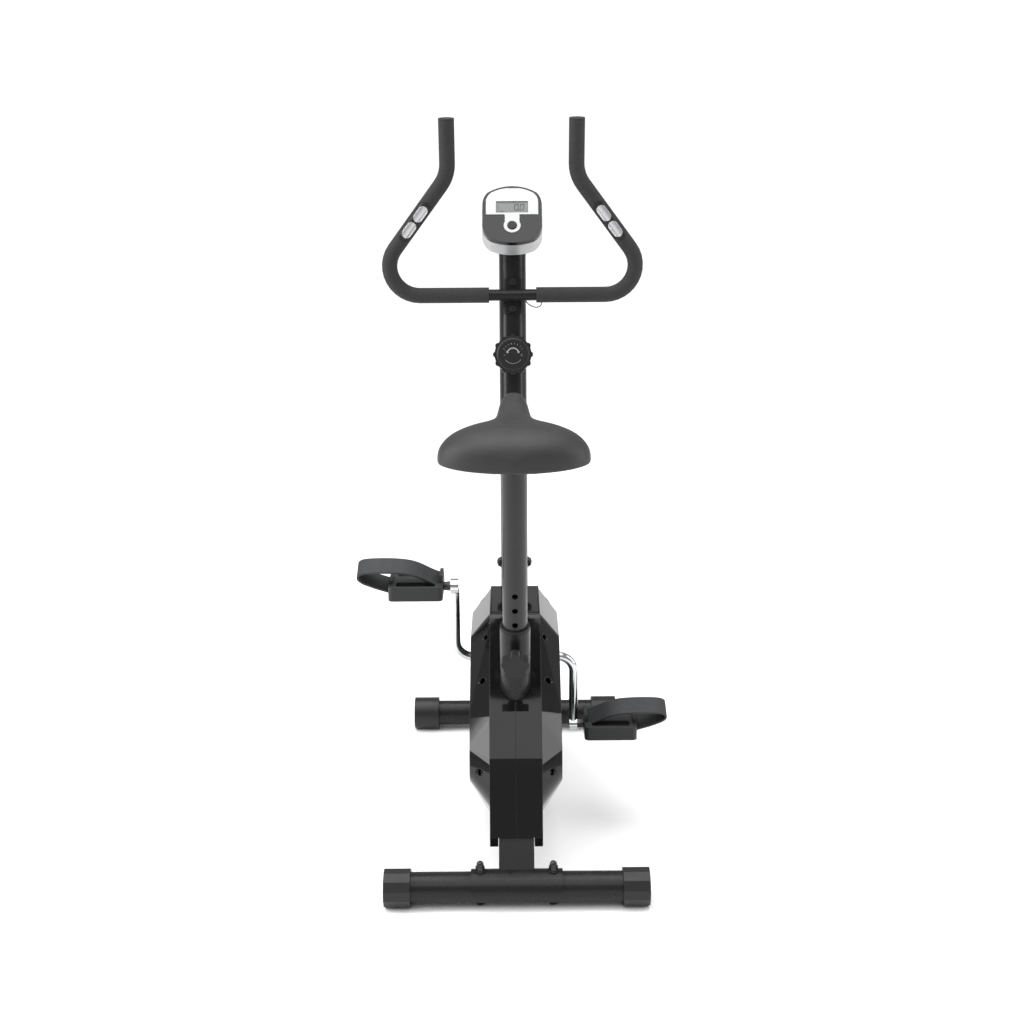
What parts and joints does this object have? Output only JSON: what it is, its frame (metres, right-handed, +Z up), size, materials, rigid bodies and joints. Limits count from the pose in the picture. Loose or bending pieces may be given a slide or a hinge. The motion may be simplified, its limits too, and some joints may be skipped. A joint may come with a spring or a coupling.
{
  "type": "exercise bike",
  "caption": "Upright magnetic exercise bike with a padded seat, foam grip handlebar, console, strapped pedals and enclosed flywheel.",
  "frame": {"origin": "on the floor, at the middle of the footprint", "axes": "+Y to the front of the bike, +X to its right hand side, +Z up"},
  "size_m": [0.5348, 0.755, 1.2271],
  "materials": {
    "frame_paint": "satin black powder coat",
    "post_paint": "satin black, lightly rubbed",
    "black_steel": "blackened",
    "bright_steel": "zinc plated",
    "sensor_steel": "satin stainless",
    "crank_chrome": "polished",
    "flywheel_iron": "machined rim",
    "pulley_aluminium": "machined",
    "housing_gloss": "glossy black",
    "silver_plastic": "silver painted",
    "black_plastic": "fine grained",
    "cap_plastic": "satin",
    "pedal_plastic": "ribbed",
    "strap_rubber": "matt grey-black",
    "belt_rubber": "matt",
    "cable_rubber": "satin sheath",
    "foam": "fine closed-cell foam",
    "seat_vinyl": "matt grey-black cover",
    "lcd_glass": "grey-green display"
  },
  "bodies": {
    "frame": {"main_beam": "frame_paint", "saddles": "frame_paint", "rear_stabiliser": "frame_paint", "front_stabiliser": "frame_paint", "saddle_bolts": "black_steel", "saddle_nuts": "black_steel", "seat_tube": "frame_paint", "seat_bushing": "black_plastic", "mast_stub": "frame_paint", "crank_shell": "frame_paint", "bearing_cups": "bright_steel", "flywheel_fork": "frame_paint", "flywheel_bearings": "bright_steel", "shell_left": "housing_gloss", "shell_right": "housing_gloss", "top_cover": "housing_gloss", "shell_screws": "black_steel", "mast": "frame_paint", "mast_bolts": "black_steel", "bar_bracket": "frame_paint", "knob_base": "black_plastic", "tension_cable": "cable_rubber", "shoe_pin": "bright_steel", "drive_belt": "belt_rubber", "front_caps": "cap_plastic", "wheel_axles": "bright_steel", "console_back": "silver_plastic", "console_face": "housing_gloss", "console_plate": "silver_plastic", "console_window": "lcd_glass", "console_bracket": "frame_paint"},
    "crank_set": {"crank": "crank_chrome", "drive_pulley": "black_plastic", "pedal_spindles": "black_steel"},
    "flywheel_set": {"flywheel": "flywheel_iron", "flywheel_shaft": "bright_steel", "driven_pulley": "pulley_aluminium"},
    "pedal_left": {"left_pedal": "pedal_plastic", "left_strap": "strap_rubber"},
    "pedal_right": {"right_pedal": "pedal_plastic", "right_strap": "strap_rubber"},
    "saddle_carrier": {"seat_post": "post_paint", "seat_base": "black_plastic", "seat_pad": "seat_vinyl", "seat_nuts": "bright_steel"},
    "pull_pin": {"seat_pin": "black_plastic"},
    "resistance_knob": {"tension_knob": "black_plastic"},
    "brake": {"brake_shoe": "black_steel", "magnets": "bright_steel"},
    "mode_button": {"console_button": "black_plastic"},
    "leveller_left": {"left_leveller": "cap_plastic"},
    "leveller_right": {"right_leveller": "cap_plastic"},
    "wheel_left": {"left_wheel": "cap_plastic"},
    "wheel_right": {"right_wheel": "cap_plastic"},
    "handlebars": {"handlebar": "frame_paint", "left_grip": "foam", "right_grip": "foam", "pulse_frames": "black_plastic", "pulse_plates": "sensor_steel", "sensor_wire": "cable_rubber"}
  },
  "joints": [
    {"name": "crank_spin", "type": "hinge", "parent": "frame", "child": "crank_set", "pos_m": [0, -0.0625, 0.316], "axis": [-1, 0, 0], "continuous": true},
    {"name": "flywheel_spin", "type": "hinge", "parent": "frame", "child": "flywheel_set", "pos_m": [0, 0.165, 0.232], "axis": [-1, 0, 0], "continuous": true},
    {"name": "left_pedal_spin", "type": "hinge", "parent": "crank_set", "child": "pedal_left", "pos_m": [-0.168, -0.07848, 0.45206], "axis": [1, 0, 0], "continuous": true},
    {"name": "right_pedal_spin", "type": "hinge", "parent": "crank_set", "child": "pedal_right", "pos_m": [0.168, -0.04652, 0.17994], "axis": [1, 0, 0], "continuous": true},
    {"name": "seat_height", "type": "slide", "parent": "frame", "child": "saddle_carrier", "axis": [0, -0.2152, 0.9766], "range_m": [-0.081, 0.081]},
    {"name": "seat_pin_pull", "type": "slide", "parent": "frame", "child": "pull_pin", "axis": [0, -0.9766, -0.2152], "range_m": [0, 0.008], "stiffness_N_per_m": 900, "springref_m": -0.002},
    {"name": "tension_turn", "type": "hinge", "parent": "frame", "child": "resistance_knob", "pos_m": [0, 0.09275, 0.82301], "axis": [0, -0.9728, 0.2317], "range_deg": [0, 280]},
    {"name": "brake_swing", "type": "hinge", "parent": "frame", "child": "brake", "pos_m": [0, 0.27591, 0.24759], "axis": [1, 0, 0], "range_deg": [0, 5]},
    {"name": "mode_press", "type": "slide", "parent": "frame", "child": "mode_button", "axis": [0, 0.766, -0.6428], "range_m": [0, 0.0015], "stiffness_N_per_m": 400, "springref_m": -0.001},
    {"name": "left_leveller_turn", "type": "hinge", "parent": "frame", "child": "leveller_left", "pos_m": [-0.1925, -0.3475, 0.03], "axis": [-1, 0, 0], "continuous": true},
    {"name": "right_leveller_turn", "type": "hinge", "parent": "frame", "child": "leveller_right", "pos_m": [0.1925, -0.3475, 0.03], "axis": [1, 0, 0], "continuous": true},
    {"name": "left_wheel_spin", "type": "hinge", "parent": "frame", "child": "wheel_left", "pos_m": [-0.1955, 0.3595, 0.021], "axis": [1, 0, 0], "continuous": true},
    {"name": "right_wheel_spin", "type": "hinge", "parent": "frame", "child": "wheel_right", "pos_m": [0.1955, 0.3595, 0.021], "axis": [1, 0, 0], "continuous": true},
    {"name": "handlebar_tilt", "type": "hinge", "parent": "frame", "child": "handlebars", "pos_m": [0, 0.12068, 0.92429], "axis": [1, 0, 0], "range_deg": [-10, 6]}
  ],
  "couplings": [
    {"joint": "flywheel_spin", "follows": "crank_spin", "ratio": 3.5},
    {"joint": "brake_swing", "follows": "tension_turn", "ratio": 0.017857}
  ]
}
